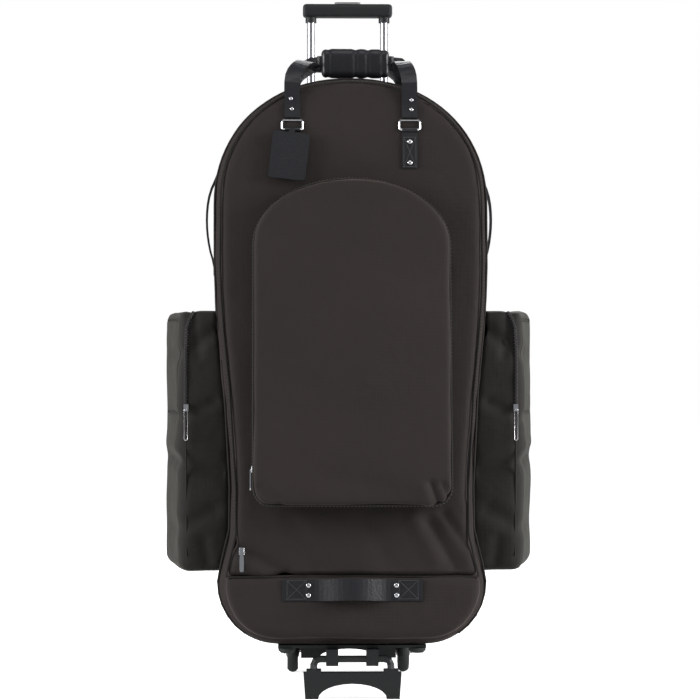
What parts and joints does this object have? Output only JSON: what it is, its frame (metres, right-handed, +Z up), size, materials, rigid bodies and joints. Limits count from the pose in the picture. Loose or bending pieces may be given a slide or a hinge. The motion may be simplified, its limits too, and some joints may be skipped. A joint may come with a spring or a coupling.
{
  "type": "wheeled tuba bag",
  "caption": "Padded upright tuba bag with arched top, front lid and pocket, side pockets, carry handles, rear wheels, pull handle and fold-out front stand.",
  "frame": {"origin": "on the floor, under the middle of the bag's bounding box", "axes": "+Z up, the front with the lid and pocket faces -Y, +X to the right as seen from the front"},
  "size_m": [0.6314, 0.4501, 1.1865],
  "materials": {
    "body_fabric": "dense woven nylon, dark brown black",
    "zip_tape": "woven zip tape",
    "pocket_fabric": "dense woven nylon, near black",
    "leather": "smooth black leather",
    "hardware": "bright plated metal",
    "stand_steel": "black coated steel",
    "tube_aluminium": "anodised",
    "black_plastic": "moulded",
    "grey_plastic": "moulded",
    "foam": "plush covered foam",
    "rubber": "matt"
  },
  "bodies": {
    "bag": {"main_shell": "body_fabric", "lower_front_panel": "body_fabric", "shell_zip_tape": "zip_tape", "back_board": "grey_plastic", "bell_pad": "foam", "bow_cradle": "foam", "side_pocket_left": "pocket_fabric", "side_pocket_right": "pocket_fabric", "side_handle_left": "leather", "side_handle_right": "leather", "rear_tab_left": "leather", "rear_tab_right": "leather", "drag_handle": "leather", "drag_handle_rivets_left": "hardware", "drag_handle_rivets_right": "hardware", "outer_tube_left": "tube_aluminium", "outer_tube_right": "tube_aluminium", "trolley_top_bracket": "black_plastic", "base_board": "black_plastic", "glide_foot_left": "rubber", "glide_foot_right": "rubber", "wheel_bracket": "black_plastic", "wheel_axle_left": "hardware", "wheel_axle_right": "hardware", "stand_lug_left": "black_plastic", "stand_lug_right": "black_plastic"},
    "lid": {"lid_panel": "body_fabric", "lid_zip_tape": "zip_tape", "front_pocket_gusset": "body_fabric", "front_tab_left": "leather", "front_tab_right": "leather", "tab_rivets_left": "hardware", "tab_rivets_right": "hardware"},
    "pocket_door": {"front_pocket_door": "body_fabric"},
    "front_handle": {"front_ring_left": "hardware", "front_ring_right": "hardware", "front_handle_strap": "leather", "handle_wrap": "leather"},
    "rear_handle": {"rear_ring_left": "hardware", "rear_ring_right": "hardware", "rear_handle_strap": "leather"},
    "tag": {"luggage_tag": "leather", "tag_loop": "leather"},
    "flap_left": {"side_pocket_flap_left": "pocket_fabric"},
    "flap_right": {"side_pocket_flap_right": "pocket_fabric"},
    "trolley": {"inner_tube_left": "tube_aluminium", "inner_tube_right": "tube_aluminium", "trolley_grip": "black_plastic"},
    "button": {"release_button": "grey_plastic"},
    "wheel_left": {"wheel_tyre_left": "rubber", "wheel_hub_left": "grey_plastic"},
    "wheel_right": {"wheel_tyre_right": "rubber", "wheel_hub_right": "grey_plastic"},
    "stand": {"stand_bar": "stand_steel", "stand_plate": "black_plastic"},
    "main_slider": {"main_zip_slider": "hardware"},
    "main_pull": {"main_zip_pull": "hardware"},
    "pocket_slider": {"front_pocket_zip_slider": "hardware"},
    "pocket_pull": {"front_pocket_zip_pull": "hardware"}
  },
  "joints": [
    {"name": "lid_hinge", "type": "hinge", "parent": "bag", "child": "lid", "pos_m": [0, -0.19334, 0.2], "axis": [1, 0, 0], "range_deg": [0, 90]},
    {"name": "pocket_door_hinge", "type": "hinge", "parent": "lid", "child": "pocket_door", "pos_m": [0, -0.21516, 0.318], "axis": [1, 0, 0], "range_deg": [0, 75]},
    {"name": "front_handle_swing", "type": "hinge", "parent": "lid", "child": "front_handle", "pos_m": [0, -0.08247, 0.93566], "axis": [1, 0, 0], "range_deg": [0, 90]},
    {"name": "rear_handle_swing", "type": "hinge", "parent": "bag", "child": "rear_handle", "pos_m": [0, 0.20096, 0.935], "axis": [-1, 0, 0], "range_deg": [0, 30]},
    {"name": "tag_swing", "type": "hinge", "parent": "lid", "child": "tag", "pos_m": [-0.098, -0.08938, 0.93675], "axis": [0, -0.988, 0.1547], "range_deg": [-10, 10]},
    {"name": "flap_left_hinge", "type": "hinge", "parent": "bag", "child": "flap_left", "pos_m": [-0.284, -0.08334, 0.462], "axis": [0.1636, -0.9865, 0], "range_deg": [0, 100]},
    {"name": "flap_right_hinge", "type": "hinge", "parent": "bag", "child": "flap_right", "pos_m": [0.284, -0.08334, 0.462], "axis": [0.1636, 0.9865, 0], "range_deg": [0, 100]},
    {"name": "trolley_slide", "type": "slide", "parent": "bag", "child": "trolley", "axis": [0, 0, 1], "range_m": [-0.18, 0.1]},
    {"name": "button_press", "type": "slide", "parent": "trolley", "child": "button", "axis": [0, 0, -1], "range_m": [0, 0.003], "stiffness_N_per_m": 800, "springref_m": -0.001},
    {"name": "wheel_left_spin", "type": "hinge", "parent": "bag", "child": "wheel_left", "pos_m": [-0.0975, 0.17666, 0.038], "axis": [1, 0, 0], "continuous": true},
    {"name": "wheel_right_spin", "type": "hinge", "parent": "bag", "child": "wheel_right", "pos_m": [0.0975, 0.17666, 0.038], "axis": [1, 0, 0], "continuous": true},
    {"name": "stand_fold", "type": "hinge", "parent": "bag", "child": "stand", "pos_m": [0, -0.17735, 0.0635], "axis": [1, 0, 0], "range_deg": [0, 88]},
    {"name": "main_zip_slide", "type": "slide", "parent": "lid", "child": "main_slider", "axis": [0, 0.1547, 0.988], "range_m": [0, 0.1]},
    {"name": "main_pull_swing", "type": "hinge", "parent": "main_slider", "child": "main_pull", "pos_m": [-0.18014, -0.193, 0.24093], "axis": [-1, 0, 0], "range_deg": [0, 150]},
    {"name": "pocket_zip_slide", "type": "slide", "parent": "lid", "child": "pocket_slider", "axis": [0, 0.1547, 0.988], "range_m": [0, 0.29]},
    {"name": "pocket_pull_swing", "type": "hinge", "parent": "pocket_slider", "child": "pocket_pull", "pos_m": [-0.166, -0.20069, 0.374], "axis": [0, 0.988, -0.1547], "range_deg": [0, 120]}
  ]
}
